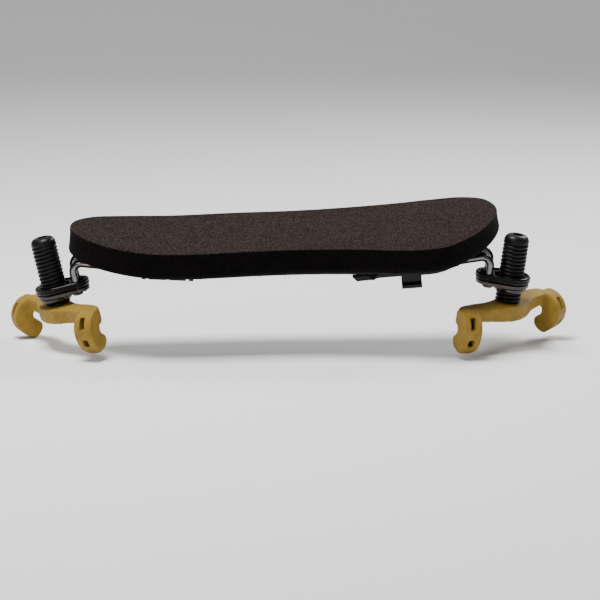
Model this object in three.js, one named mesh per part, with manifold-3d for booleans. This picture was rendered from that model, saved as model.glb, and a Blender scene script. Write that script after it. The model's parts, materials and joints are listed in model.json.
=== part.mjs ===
// A violin shoulder rest: a bowed nylon bar carries a foam pad, and at each end a slider holds a folding
// wire bracket, a clamp collar and a height-adjusting leg screw with a rubber-covered fork that grips the
// violin's edge.
// Millimetres, +Z up (away from the violin's back), +X towards the wide shoulder end, +Y towards the scroll.
// Everything is built about a point midway between the legs, level with the claws' seats; the origin is
// set last.
import * as THREE from "three";
import { mergeVertices } from "three/addons/utils/BufferGeometryUtils.js";
import Module from "manifold-3d";

const wasm = await Module();
wasm.setup();

const { Vector2, Vector3, Matrix4, Euler } = THREE;
const rad = THREE.MathUtils.degToRad;

// ---------------------------------------------------------------- driving dimensions
const GAP = 0.3; // kept between pieces that rest on each other

// The bar assembly's frame: z = 0 is the foam's underside at mid length.
const BAR_HEIGHT = 22.6;
const BAR_PITCH = 14; // degrees; the player's side of the pad faces the tail end
const BAR_ROLL = -1.1;

// The pad's plan outline, anticlockwise from its narrow chest end.
const PAD_OUTLINE = [
  [-80.5, 0.8], [-77.8, -6.2], [-68, -15.6], [-52, -22], [-36, -22], [-13, -18.9], [6, -17.8], [25, -19.1],
  [50, -23.4], [61, -21.9], [73, -10.9], [80.6, 5], [80.7, 14], [76.4, 22.2], [68, 25.8], [56, 25.7],
  [44, 24.5], [6, 21.4], [-20, 19.7], [-43, 16.3], [-60, 14.5], [-72.5, 12], [-78.8, 7.2],
];
const PAD_HALF_LENGTH = 81;
const PAD_THICKNESS = 10.2;
const PAD_BOW = 3.5; // how far each end rises above the middle

const BAR_INSET = 6; // the foam's overhang round the bar
const PLATE_THICKNESS = 1.7;
const RIM = { width: 2, depth: 0.5 };
const RIB_DEPTH = 1.8;

// The end track, in the end frame: +x outwards along the bar, z = 0 the foam's underside, x = 0 the fold
// hinge.
const HINGE_X = 62;
const HINGE_Z = -3.3;
const SLOT = { half: 5.5, inner: -4, outer: 30 };
const TRACK = { inner: -31, outer: 6, rail: 3.1, bottom: -4.6 };
const RAMP = { inner: -5, end: -2.2 }; // the rails' underside rises from here to their outer end
const RACK = { inner: -28.2, outer: -8.7, bottom: -5.5, notch: -10.9, notchWidth: 1.2 };
const GROOVE = { top: -2.3, bottom: -3.8, depth: 1.5 };
const WIDTH_STEP = 7.5; // between two width settings
const WIDTH_SETTINGS = 3;

const SLIDER = { half: 5.2, inner: -29, outer: -4.3, top: -2.35, bottom: -5.6 };
const TONGUE = { half: 6.6, top: -2.6, bottom: -3.5 };
const KNUCKLE = { half: 1.4, radius: 2.7 };
const ROD_RADIUS = 1.5;
const ROD_SPREAD = 3.6; // half the distance between the bracket's arms
const HINGE_BEND = 2; // centreline radius of the rod's bends at the hinge
const ELBOW_BEND = 3.2; // centreline radius of the rod's bends above the collar
const ELBOW_Z = -1.9;

const LEVER = { near: -11.4, far: -8.9, top: -2.9, bottom: -4, pivotX: -29, pivotZ: -3.2, tail: -36.6 };
const LEVER_TAB = { inner: -18.4, outer: -10.8, thickness: 1.6, bottom: -8.5, lip: 1.7, lipThickness: 1.3 };
const LEVER_BOSS_RADIUS = 1.1;
const LEVER_PIN = { radius: 0.6, head: 1.1, end: -7.3, clearance: 0.2 };
const TOOTH = { x: -12, half: 0.8, reach: -6, bottom: -5 };
const DETENT = { half: 1.2, depth: 0.5 };

// Each leg, in the leg frame: +z up the screw, z = 0 the fork's top face, +x towards the middle of the bar.
const SIDES = [
  {
    name: "left", sign: -1, trackY: -1, legX: -85.7, legHeight: 4.6,
    tilt: 12.6, lean: 4.5, collarHeight: 7.8, forkYaw: 122,
  },
  {
    name: "right", sign: 1, trackY: -2, legX: 84.8, legHeight: 5.6,
    tilt: 7.3, lean: 7, collarHeight: 10.8, forkYaw: -130,
  },
];

// The leg screw is an M10 x 1.5 thread with rounded crests.
const THREAD = { pitch: 1.5, crest: 4.85, root: 4.1, clearance: 0.25, segments: 14 };
const SCREW_TOP = 26.4;
const THREAD_TOP = 22.8;
const DOME_RADIUS = 4.35;
const PIN = { radius: 1.4, top: 23.2, head: 3.1, headTop: -3.5, headBottom: -4.5, clearance: 0.25 };
const SOCKET_RADIUS = 1.95;
const FOOT_DISC = { radius: 2.9, bottom: -1.5 };

// The collar stack, in the collar frame: z = 0 its top face, +x towards the bracket's rods.
const COLLAR = { big: 7.35, small: 6.4, smallX: 7.2, thickness: 2.7, rim: 1, recess: 0.6 };
const ROD_HOLE = { x: 8.7, y: 3.5, radius: 1.8 };
const COLLAR_BORE = 5.3;
const COLLAR_SLOT = { length: 6.3, half: 3.1 };
const CLAMP_PLATE = { top: -3, bottom: -4.2, inset: 0.35 };
const BUSH = { top: -4.5, bottom: -6.1, radius: 6.15 };
const ROD_HEAD = { top: -4.5, bottom: -5.2, radius: 2 };
const RIVET = { x: 10.9, radius: 0.75, head: 1.15 };

// The fork, in the fork frame: +x along its crossbar, +y outwards over the violin's edge, z = 0 its top
// face. The crossbar swells about the screw, a little more on its outer side.
const CROSSBAR = { half: 4.2, endHalf: 3, thickness: 5.6, endThickness: 4.2 };
const SWELL = { width: 1.9, shift: 1.2, reach: 14 };
const CLAW = { width: 7.7, top: 0.4, tip: -16.4, corner: 3.4 };
// The tail claw grips near the end button and the waist claw further along; each has its own hooking
// radius and its arm's centre line.
const TAIL = { x: 25, y: 0.35, splay: 28, radius: 7.4, arm: [[9, 1], [16, -0.4], [21, -1.1], [24.4, -0.6]] };
const WAIST = {
  x: 26.4, y: -0.9, splay: 12, radius: 8.2, arm: [[9, -0.6], [16, -2.1], [21, -2.4], [25.4, -2]],
};
const THROAT = { roof: -5.6, floor: -9.6, depth: 0.8, bulge: -1.9, inner: -1.9 };
const CORE = { thickness: 1.2, width: 4, z: -2.6, disc: 4.2 };
const WINDOWS = [
  { z: -3.5, height: 4.4, width: 2.2 },
  { z: -10.9, height: 2.8, width: 2.4 },
];

// ---------------------------------------------------------------- materials
const material = (color, roughness, metalness) =>
  new THREE.MeshStandardMaterial({ color, roughness, metalness });
const FOAM = material(0x3f3836, 0.95, 0);
const NYLON = material(0x161415, 0.45, 0);
const SCREW_NYLON = material(0x1d1a1b, 0.55, 0);
const NICKEL = material(0x8f8883, 0.22, 1);
const STEEL = material(0x5c5856, 0.4, 1);
const RUBBER = material(0xb08f47, 0.6, 0);

// ---------------------------------------------------------------- solids
// A closed three.js geometry as a manifold-3d solid.
function solid(geometry) {
  const bare = geometry.index ? geometry.toNonIndexed() : geometry.clone();
  const points = new THREE.BufferGeometry().setAttribute("position", bare.getAttribute("position"));
  const merged = mergeVertices(points, 1e-3);
  return new wasm.Manifold(
    new wasm.Mesh({
      numProp: 3,
      vertProperties: new Float32Array(merged.attributes.position.array),
      triVerts: new Uint32Array(merged.index.array),
    }),
  );
}

const union = (...parts) => parts.reduce((whole, part) => whole.add(part));
const moved = (part, matrix) => part.transform(matrix.elements);
const shift = (x, y, z) => new Matrix4().makeTranslation(x, y, z);

function box(x0, x1, y0, y1, z0, z1) {
  const geometry = new THREE.BoxGeometry(x1 - x0, y1 - y0, z1 - z0);
  return solid(geometry.translate((x0 + x1) / 2, (y0 + y1) / 2, (z0 + z1) / 2));
}

// A closed 2-D outline standing from z0 to z1.
function prism(outline, z0, z1) {
  const shape = outline instanceof THREE.Shape ? outline : new THREE.Shape(outline);
  const geometry = new THREE.ExtrudeGeometry(shape, {
    depth: z1 - z0,
    bevelEnabled: false,
    curveSegments: 7,
  });
  return solid(geometry.translate(0, 0, z0));
}

// A solid of revolution about z from [radius, z] pairs that run upwards from the axis back to the axis.
function turned(profile, segments = 24) {
  const points = profile.map(([r, z]) => new Vector2(r, z));
  return solid(new THREE.LatheGeometry(points, segments).rotateX(Math.PI / 2));
}

const rod = (radius, z0, z1, segments = 24) =>
  turned([[0, z0], [radius, z0], [radius, z1], [0, z1]], segments);

// A round rod along y, centred on (x, z).
function crossRod(radius, x, z, y0, y1, segments = 16) {
  const lying = new Matrix4().makeRotationX(-Math.PI / 2).setPosition(x, 0, z);
  return moved(rod(radius, y0, y1, segments), lying);
}

// A threaded rod whose vertices follow the helix; grow makes the matching cutter for a threaded hole.
function threadedRod(firstTurn, turns, grow = 0) {
  const { pitch, segments } = THREAD;
  const crest = THREAD.crest + grow;
  const root = THREAD.root + grow;
  const rows = [[0, root], [0.4, crest], [0.7, crest]];
  const last = turns * rows.length;
  const positions = [];
  for (let row = 0; row <= last; row++) {
    const [share, radius] = rows[row % rows.length];
    const turn = firstTurn + Math.floor(row / rows.length) + share;
    for (let i = 0; i <= segments; i++) {
      const angle = (2 * Math.PI * i) / segments;
      const z = pitch * (turn + i / segments);
      positions.push(radius * Math.cos(angle), radius * Math.sin(angle), z);
    }
  }
  const columns = segments + 1;
  const at = (row, i) => row * columns + i;
  const bottom = positions.length / 3;
  const top = bottom + 1;
  positions.push(0, 0, pitch * (firstTurn + 0.5), 0, 0, pitch * (firstTurn + turns + 0.5));
  const index = [];
  for (let row = 0; row < last; row++)
    for (let i = 0; i < segments; i++) {
      index.push(at(row, i), at(row, i + 1), at(row + 1, i + 1));
      index.push(at(row, i), at(row + 1, i + 1), at(row + 1, i));
    }
  for (let i = 0; i < segments; i++) {
    index.push(bottom, at(0, i + 1), at(0, i));
    index.push(top, at(last, i), at(last, i + 1));
  }
  for (let step = 0; step < rows.length; step++) {
    index.push(bottom, at(step, 0), at(step + 1, 0));
    index.push(top, at(last - step, segments), at(last - step - 1, segments));
  }
  const geometry = new THREE.BufferGeometry();
  geometry.setAttribute("position", new THREE.Float32BufferAttribute(positions, 3));
  return solid(geometry.setIndex(index));
}

// A finished solid as a named mesh, already placed in its group's frame.
function piece(name, part, look) {
  const { numProp, numVert, vertProperties, triVerts } = part.getMesh();
  const positions = new Float32Array(numVert * 3);
  for (let i = 0; i < numVert; i++)
    positions.set(vertProperties.subarray(i * numProp, i * numProp + 3), i * 3);
  const geometry = new THREE.BufferGeometry();
  geometry.setAttribute("position", new THREE.BufferAttribute(positions, 3));
  geometry.setIndex(new THREE.BufferAttribute(triVerts, 1));
  geometry.computeVertexNormals();
  const mesh = new THREE.Mesh(geometry, look);
  mesh.name = name;
  return mesh;
}

// ---------------------------------------------------------------- frames
const barFrame = new Matrix4()
  .makeRotationFromEuler(new Euler(rad(BAR_PITCH), rad(BAR_ROLL), 0, "YXZ"))
  .setPosition(0, 0, BAR_HEIGHT);

const bowAt = (x) => PAD_BOW * (x / PAD_HALF_LENGTH) ** 2;
const bowSlope = Math.atan((2 * PAD_BOW * HINGE_X) / PAD_HALF_LENGTH ** 2);

// An end frame inside the bar frame: the left end is the right end turned half round.
function endFrame(side) {
  const turn = side.sign > 0 ? 0 : Math.PI;
  return new Matrix4()
    .makeRotationZ(turn)
    .multiply(new Matrix4().makeRotationY(-bowSlope))
    .setPosition(side.sign * HINGE_X, side.trackY, bowAt(HINGE_X));
}

function legFrame(side) {
  const turn = side.sign > 0 ? Math.PI : 0;
  return new Matrix4()
    .makeRotationFromEuler(new Euler(rad(side.lean), rad(side.sign * side.tilt), turn, "YXZ"))
    .setPosition(side.legX, 0, side.legHeight);
}

const collarFrame = (side) => legFrame(side).multiply(shift(0, 0, side.collarHeight));

function forkFrame(side) {
  const inLeg = side.sign > 0 ? Math.PI : 0;
  return legFrame(side).multiply(new Matrix4().makeRotationZ(rad(side.forkYaw) - inLeg));
}

// ---------------------------------------------------------------- bar and pad
const padCurve = new THREE.CatmullRomCurve3(
  PAD_OUTLINE.map(([x, y]) => new Vector3(x, y, 0)),
  true,
  "centripetal",
);

// The pad's outline moved inwards by a distance; points that would fold over at a tight corner are left
// out.
function padOutline(inset, count = 60) {
  const edge = padCurve.getPoints(4 * count).map((point) => new Vector2(point.x, point.y));
  const points = Array.from({ length: count }, (_, i) => {
    const point = padCurve.getPoint(i / count);
    const along = padCurve.getTangent(i / count);
    return new Vector2(point.x - along.y * inset, point.y + along.x * inset);
  });
  return points.filter((point) => edge.every((other) => point.distanceTo(other) > inset - 0.02));
}

// A slab between two heights that follows the bow from end to end.
function bowedSlab(z0, z1) {
  const half = PAD_HALF_LENGTH + 4;
  const steps = 16;
  const upper = Array.from({ length: steps + 1 }, (_, i) => {
    const x = half - (2 * half * i) / steps;
    return new Vector2(x, z1 + bowAt(x));
  });
  const lower = upper.map((p) => new Vector2(p.x, p.y - z1 + z0)).reverse();
  const depth = 60;
  const standing = prism([...upper, ...lower], -depth / 2, depth / 2);
  return moved(standing, new Matrix4().makeRotationX(Math.PI / 2));
}

function foamPad() {
  return bowedSlab(0, PAD_THICKNESS).intersect(prism(padOutline(0), -10, 40));
}

// A block of the end track on the side of the slot given by sign.
function railBlock(sign, inner, outer, bottom, top = -1) {
  const near = sign * SLOT.half;
  const far = sign * (SLOT.half + TRACK.rail);
  return box(inner, outer, Math.min(near, far), Math.max(near, far), bottom, top);
}

// What each end adds to the bar: two rails and the notched rack under one of them.
function trackSolids() {
  const rails = [-1, 1].map((sign) => railBlock(sign, TRACK.inner, TRACK.outer, TRACK.bottom));
  return union(...rails, railBlock(1, RACK.inner, RACK.outer, RACK.bottom));
}

// The space under the rails' sloping ends.
function ramp() {
  const outer = TRACK.outer + 1;
  const side = new THREE.Shape();
  side.moveTo(RAMP.inner, TRACK.bottom);
  side.lineTo(RAMP.inner, -9);
  side.lineTo(outer, -9);
  side.lineTo(outer, RAMP.end);
  return moved(prism(side, -12, 12), new Matrix4().makeRotationX(Math.PI / 2));
}

// What each end cuts from the bar: the bracket's slot, the slider's channel and grooves, the ramp, the
// tooth's window, the rack's notches and the lever pin's bore.
function trackCuts() {
  const slot = box(SLOT.inner, SLOT.outer, -SLOT.half, SLOT.half, -9, 5);
  const channel = box(TRACK.inner, SLOT.outer, -SLOT.half, SLOT.half, -9, -GAP - PLATE_THICKNESS);
  const reach = SLOT.half + GROOVE.depth;
  const grooves = box(TRACK.inner, SLOT.outer, -reach, reach, GROOVE.bottom, GROOVE.top);
  const outside = SLOT.half + TRACK.rail + 0.2;
  const window = box(TOOTH.x - 1.9, TOOTH.x + 1.9, -outside, 0.2 - SLOT.half, -9, GROOVE.top);
  const bore = crossRod(
    LEVER_PIN.radius + LEVER_PIN.clearance, LEVER.pivotX, LEVER.pivotZ, LEVER.near - 1, LEVER_PIN.end + 0.2,
  );
  const notches = Array.from({ length: WIDTH_SETTINGS }, (_, step) => {
    const x = RACK.notch - step * WIDTH_STEP;
    const half = RACK.notchWidth / 2;
    return box(x - half, x + half, SLOT.half - 1, outside, -9, RACK.bottom + 1.3);
  });
  return union(slot, channel, grooves, ramp(), window, bore, ...notches);
}

function baseBar() {
  const bottom = -GAP - PLATE_THICKNESS;
  const inside = prism(padOutline(BAR_INSET + RIM.width), -20, 40);
  const rim = bowedSlab(bottom - RIM.depth, bottom + 1).subtract(inside);
  const ribbed = bowedSlab(bottom - RIB_DEPTH, bottom + 1);
  const spines = [-4, 8].map((y) => ribbed.intersect(box(-28, 28, y - 1, y + 1, -20, 20)));
  const crossRibs = [-20, -10, 0, 10, 20].map((x) =>
    ribbed.intersect(box(x - 0.8, x + 0.8, -4, 8, -20, 20)),
  );
  const leverRoom = box(
    LEVER.tail - 1, LEVER_TAB.outer + 1.5, LEVER.near - 1.5, LEVER.far + GAP, -12, bottom + 0.2,
  );
  let bar = union(bowedSlab(bottom, -GAP), rim, ...spines, ...crossRibs);
  for (const side of SIDES) {
    const frame = endFrame(side);
    bar = bar.subtract(moved(leverRoom, frame)).add(moved(trackSolids(), frame));
  }
  bar = bar.intersect(prism(padOutline(BAR_INSET), -20, 40));
  for (const side of SIDES) bar = bar.subtract(moved(trackCuts(), endFrame(side)));
  return bar.intersect(bowedSlab(-30, -GAP));
}

// ---------------------------------------------------------------- end pieces, in the end frame
function slider() {
  const { half: wide } = KNUCKLE;
  const body = box(SLIDER.inner, SLIDER.outer, -SLIDER.half, SLIDER.half, SLIDER.bottom, SLIDER.top);
  const tongues = box(SLIDER.inner, SLIDER.outer, -TONGUE.half, TONGUE.half, TONGUE.bottom, TONGUE.top);
  const neck = box(SLIDER.outer - 1, 0, -wide, wide, HINGE_Z - 2, HINGE_Z + 0.95);
  const knuckle = crossRod(KNUCKLE.radius, 0, HINGE_Z, -wide, wide, 20);
  const bore = crossRod(ROD_RADIUS + 0.25, 0, HINGE_Z, -wide - 1, wide + 1, 20);
  const snap = box(-1.1, 1.1, -wide - 1, wide + 1, HINGE_Z - 5, HINGE_Z);
  const detents = Array.from({ length: WIDTH_SETTINGS }, (_, step) => {
    const x = TOOTH.x - step * WIDTH_STEP;
    const top = TONGUE.bottom + DETENT.depth;
    return box(x - DETENT.half, x + DETENT.half, -TONGUE.half - 1, -SLIDER.half, TONGUE.bottom - 1, top);
  });
  const grips = [0, 1, 2, 3].map((step) => {
    const x = SLIDER.inner + 6 + step * 3;
    return box(x - 0.7, x + 0.7, -SLIDER.half - 1, SLIDER.half + 1, SLIDER.bottom - 1, SLIDER.bottom + 0.7);
  });
  return union(body, tongues, neck, knuckle).subtract(union(bore, snap, ...detents, ...grips));
}

// The lock lever: a wedge-shaped sprung tail, a pivot boss, and an arm with the tooth and the finger tab.
function lockLever() {
  const side = new THREE.Shape();
  side.moveTo(LEVER.tail, LEVER.top);
  side.lineTo(LEVER.tail + 1.6, -4.7);
  side.lineTo(LEVER.pivotX - 0.5, -4.6);
  side.lineTo(LEVER.pivotX + 2, LEVER.bottom);
  side.lineTo(LEVER_TAB.outer, LEVER.bottom);
  side.lineTo(LEVER_TAB.outer, LEVER.top);
  const upright = new Matrix4().makeRotationX(Math.PI / 2);
  const arm = moved(prism(side, -LEVER.far, -LEVER.near), upright);
  const boss = crossRod(LEVER_BOSS_RADIUS, LEVER.pivotX, LEVER.pivotZ, LEVER.near, LEVER.far);
  const { inner, outer, bottom, lip } = LEVER_TAB;
  const tabBack = LEVER.near + LEVER_TAB.thickness;
  const tab = box(inner, outer, LEVER.near, tabBack, bottom, LEVER.top - 0.2);
  const edge = box(inner, outer, LEVER.near - lip, tabBack, bottom, bottom + LEVER_TAB.lipThickness);
  const { x, half, reach, bottom: toothBottom } = TOOTH;
  const tooth = box(x - half, x + half, tabBack - 0.4, reach, toothBottom, TONGUE.bottom - GAP);
  const bore = crossRod(
    LEVER_PIN.radius + LEVER_PIN.clearance, LEVER.pivotX, LEVER.pivotZ, LEVER.near - 1, LEVER.far + 1,
  );
  return union(arm, boss, tab, edge, tooth).subtract(bore);
}

// The lever turns on a headed pin set in the rail.
function leverPin() {
  const shank = crossRod(LEVER_PIN.radius, LEVER.pivotX, LEVER.pivotZ, LEVER.near - 0.5, LEVER_PIN.end, 12);
  const head = crossRod(LEVER_PIN.head, LEVER.pivotX, LEVER.pivotZ, LEVER.near - 1, LEVER.near - GAP, 16);
  return union(shank, head);
}

// ---------------------------------------------------------------- bracket, in the end frame
// A path through the given corners, each rounded by its own centreline radius.
function roundedPath(corners, radii) {
  const points = [corners[0]];
  for (let i = 1; i < corners.length - 1; i++) {
    const back = corners[i - 1].clone().sub(corners[i]).normalize();
    const ahead = corners[i + 1].clone().sub(corners[i]).normalize();
    const half = back.angleTo(ahead) / 2;
    const middle = back.clone().add(ahead).setLength(radii[i - 1] / Math.sin(half)).add(corners[i]);
    const start = back.multiplyScalar(radii[i - 1] / Math.tan(half)).add(corners[i]);
    const end = ahead.multiplyScalar(radii[i - 1] / Math.tan(half)).add(corners[i]);
    const steps = 4;
    for (let step = 0; step <= steps; step++) {
      const point = start.clone().lerp(end, step / steps).sub(middle).setLength(radii[i - 1]);
      points.push(point.add(middle));
    }
  }
  points.push(corners[corners.length - 1]);
  return new THREE.CatmullRomCurve3(points, false, "centripetal");
}

// The bracket is one bent steel rod: up from the collar, over an elbow, along to the hinge, across, and
// back.
function bracketRod(side) {
  const collarInEnd = barFrame.clone().multiply(endFrame(side)).invert().multiply(collarFrame(side));
  const collarPoint = (hand, z) => new Vector3(ROD_HOLE.x, -hand * ROD_HOLE.y, z).applyMatrix4(collarInEnd);
  const arm = (hand) => {
    const foot = collarPoint(hand, ROD_HEAD.bottom);
    const above = collarPoint(hand, 5);
    const rise = above.clone().sub(foot);
    const elbow = foot.clone().addScaledVector(rise, (ELBOW_Z - foot.z) / rise.z);
    return [foot, elbow, new Vector3(0, hand * ROD_SPREAD, HINGE_Z)];
  };
  const corners = [...arm(1), ...arm(-1).reverse()];
  const path = roundedPath(corners, [ELBOW_BEND, HINGE_BEND, HINGE_BEND, ELBOW_BEND]);
  const section = new THREE.Shape().absarc(0, 0, ROD_RADIUS, 0, 2 * Math.PI);
  const wire = new THREE.ExtrudeGeometry(section, { steps: 46, curveSegments: 4, extrudePath: path });
  const heads = [1, -1].map((hand) => {
    const head = rod(ROD_HEAD.radius, ROD_HEAD.bottom, ROD_HEAD.top, 16);
    return moved(head, collarInEnd.clone().multiply(shift(ROD_HOLE.x, hand * ROD_HOLE.y, 0)));
  });
  return union(solid(wire), ...heads);
}

// ---------------------------------------------------------------- collar stack, in the collar frame
// A pear outline: a big round end about the screw and a smaller one about the rods, joined by tangents.
function pear(inset, z0, z1) {
  const big = COLLAR.big - inset;
  const small = COLLAR.small - inset;
  const meet = Math.acos((big - small) / COLLAR.smallX);
  const outline = new THREE.Shape();
  outline.absarc(0, 0, big, meet, 2 * Math.PI - meet, false);
  outline.absarc(COLLAR.smallX, 0, small, -meet, meet, false);
  return prism(outline, z0, z1);
}

const rodHoles = () =>
  union(
    ...[1, -1].map((hand) => {
      const hole = rod(ROD_HOLE.radius, -8, 2, 16);
      return moved(hole, shift(ROD_HOLE.x, hand * ROD_HOLE.y, 0));
    }),
  );

const rivetHole = () => moved(rod(RIVET.radius + 0.25, -8, 2, 12), shift(RIVET.x, 0, 0));

// The rivet that holds the plate to the collar.
function collarRivet() {
  const profile = [
    [0, ROD_HEAD.bottom], [RIVET.head, ROD_HEAD.bottom], [RIVET.head, ROD_HEAD.top],
    [RIVET.radius, ROD_HEAD.top], [RIVET.radius, GAP], [RIVET.head, GAP],
    [RIVET.head - 0.4, GAP + 0.4], [0, GAP + 0.5],
  ];
  return moved(turned(profile, 16), shift(RIVET.x, 0, 0));
}

const collarOpening = () =>
  union(rod(COLLAR_BORE, -8, 2), box(0, COLLAR_SLOT.length, -COLLAR_SLOT.half, COLLAR_SLOT.half, -8, 2));

function collar() {
  const body = pear(0, -COLLAR.thickness, 0);
  const recess = pear(COLLAR.rim, -COLLAR.recess, 1);
  const inner = box(COLLAR_SLOT.length + 0.2, 20, -10, 10, -3, 1);
  const island = pear(COLLAR.rim + 1.1, -COLLAR.recess - 0.1, 0).intersect(inner);
  return body.subtract(recess).add(island).subtract(union(collarOpening(), rodHoles(), rivetHole()));
}

function clampPlate() {
  const plate = pear(CLAMP_PLATE.inset, CLAMP_PLATE.bottom, CLAMP_PLATE.top);
  return plate.subtract(union(collarOpening(), rodHoles(), rivetHole()));
}

// The threaded bush under the plate; its thread is cut in the leg frame so that it matches the screw's.
function threadedBush(side) {
  const body = turned([
    [0, BUSH.bottom], [BUSH.radius - 0.6, BUSH.bottom], [BUSH.radius, BUSH.bottom + 0.5],
    [BUSH.radius, BUSH.top - 0.3], [BUSH.radius - 0.3, BUSH.top], [0, BUSH.top],
  ]);
  const firstTurn = Math.floor((side.collarHeight + BUSH.bottom) / THREAD.pitch) - 2;
  const cutter = threadedRod(firstTurn, 5, THREAD.clearance);
  return body.subtract(moved(cutter, shift(0, 0, -side.collarHeight)));
}

// ---------------------------------------------------------------- leg, in the leg frame
function legScrew() {
  const thread = threadedRod(-2, Math.ceil(THREAD_TOP / THREAD.pitch) + 4);
  const threaded = thread.intersect(rod(THREAD.crest + 1, GAP, THREAD_TOP));
  const neck = THREAD.root - 0.4;
  const core = turned([
    [0, FOOT_DISC.bottom], [FOOT_DISC.radius, FOOT_DISC.bottom], [FOOT_DISC.radius, GAP + 0.2],
    [neck, GAP + 0.2], [neck, THREAD_TOP - 0.3], [THREAD.crest - 0.3, THREAD_TOP],
    [THREAD.crest - 0.15, THREAD_TOP + 0.9], [DOME_RADIUS, SCREW_TOP - 1.1],
    [DOME_RADIUS - 1.1, SCREW_TOP - 0.2], [2.3, SCREW_TOP], [0, SCREW_TOP],
  ], 20);
  const bore = rod(PIN.radius + PIN.clearance, -4, PIN.top + 0.4, 16);
  const socket = rod(SOCKET_RADIUS, PIN.top, SCREW_TOP + 1, 6);
  return threaded.add(core).subtract(union(bore, socket));
}

// The headed steel pin that holds the fork on the screw.
function legPin() {
  const { radius, top, head, headTop, headBottom } = PIN;
  const profile = [
    [0, headBottom], [head - 0.3, headBottom], [head, headBottom + 0.3], [head, headTop], [radius, headTop],
    [radius, top], [0, top],
  ];
  return turned(profile, 16);
}

// ---------------------------------------------------------------- fork, in the fork frame
// The tail claw is on the side of the fork that faces the bar's middle.
const claws = (side) => [
  { ...TAIL, hand: side.sign },
  { ...WAIST, hand: -side.sign },
];

// A claw's frame inside the fork frame: +x outwards over the edge, y across the claw.
function clawFrame({ x, y, splay, hand }) {
  const turn = Math.PI / 2 - hand * rad(splay);
  return new Matrix4().makeRotationZ(turn).setPosition(hand * x, y, 0);
}

// A side view drawn in x and z, given a thickness across y.
function clawSlab(outline, width) {
  const upright = new Matrix4().makeRotationX(Math.PI / 2);
  return moved(prism(outline, -width / 2, width / 2), upright);
}

// The rubber claw's side view: over the top, round the outside, down to the tip and back up to the throat.
function clawOutline(radius) {
  const { top, tip } = CLAW;
  const { roof, floor, depth, bulge } = THROAT;
  const shape = new THREE.Shape();
  shape.moveTo(THROAT.inner, top - 2);
  shape.quadraticCurveTo(THROAT.inner, top, 0, top);
  shape.absarc(0, top - radius, radius, Math.PI / 2, 0, true);
  shape.quadraticCurveTo(radius, tip + 4.6, 3.6, tip + 1.1);
  shape.quadraticCurveTo(2, tip - 0.7, 0.4, tip + 0.9);
  shape.quadraticCurveTo(bulge, floor - 3.6, bulge, floor - 2);
  shape.quadraticCurveTo(bulge, floor - 0.6, -0.6, floor);
  shape.quadraticCurveTo(depth, floor + 0.7, depth, (floor + roof) / 2 + 0.3);
  shape.quadraticCurveTo(depth, roof, -0.8, roof);
  shape.lineTo(THROAT.inner, roof);
  return shape;
}

// The claw's face view, drawn in y and z: straight sides and a rounded tip.
function clawFace() {
  const half = CLAW.width / 2;
  const { tip, corner } = CLAW;
  const face = new THREE.Shape();
  face.moveTo(half, 4);
  face.lineTo(-half, 4);
  face.lineTo(-half, tip + corner);
  face.quadraticCurveTo(-half + 0.3, tip - 0.3, 0, tip - 0.3);
  face.quadraticCurveTo(half - 0.3, tip - 0.3, half, tip + corner);
  const facing = new Matrix4().makeBasis(new Vector3(0, 1, 0), new Vector3(0, 0, 1), new Vector3(1, 0, 0));
  return moved(prism(face, -12, 12), facing);
}

// The steel strip's side view inside a claw, as a band about its centre line; grow widens and lengthens it.
function stripOutline(grow) {
  const line = new THREE.CatmullRomCurve3(
    [[-0.6 - grow, CORE.z], [1, -2.8], [3, -4], [3.9, -6.2], [3.9, -9.6], [2.8, -13 - grow]].map(
      ([x, z]) => new Vector3(x, z, 0),
    ),
  );
  const steps = 12;
  const edge = (offset) =>
    Array.from({ length: steps + 1 }, (_, i) => {
      const point = line.getPointAt(i / steps);
      const along = line.getTangentAt(i / steps);
      return new Vector2(point.x - along.y * offset, point.y + along.x * offset);
    });
  const half = CORE.thickness / 2 + grow;
  return [...edge(-half), ...edge(half).reverse()];
}

// The crossbar's bowed plan: a band that rounds in at its ends and may swell about its middle.
function crossbar(side, half, endHalf, reach, z0, z1, swell = { width: 0, shift: 0, reach: 1 }) {
  const [near, far] = claws(side).map(({ arm, hand }) => {
    const [endX, endY] = arm.at(-1);
    return [...arm.slice(0, -1), [endX + reach, endY]].map(([x, y]) => new Vector3(hand * x, y, 0));
  });
  const curve = new THREE.CatmullRomCurve3([...near.reverse(), new Vector3(), ...far]);
  const steps = 20;
  const edge = (hand) =>
    Array.from({ length: steps + 1 }, (_, i) => {
      const point = curve.getPointAt(i / steps);
      const outward = (2 * i) / steps - 1;
      const share = Math.max(0, 1 - (point.x / swell.reach) ** 2) ** 2;
      const width = half + (endHalf - half) * outward ** 8 + swell.width * share;
      return new Vector2(point.x, point.y + swell.shift * share + hand * width);
    });
  return prism([...edge(-1), ...edge(1).reverse()], z0, z1);
}

// The steel fork frame; grow makes the matching cavity in the rubber.
function forkFrameSolid(side, grow = 0) {
  const half = CORE.thickness / 2 + grow;
  const wide = CORE.width / 2 + grow;
  const bar = crossbar(side, wide, wide, grow, CORE.z - half, CORE.z + half);
  const disc = rod(CORE.disc + grow, CORE.z - half, CORE.z + half);
  const strip = clawSlab(stripOutline(grow), CORE.width + 2 * grow);
  return union(bar, disc, ...claws(side).map((claw) => moved(strip, clawFrame(claw))));
}

function forkSteel(side) {
  return forkFrameSolid(side).subtract(rod(PIN.radius + 0.4, -8, 2, 16));
}

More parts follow.
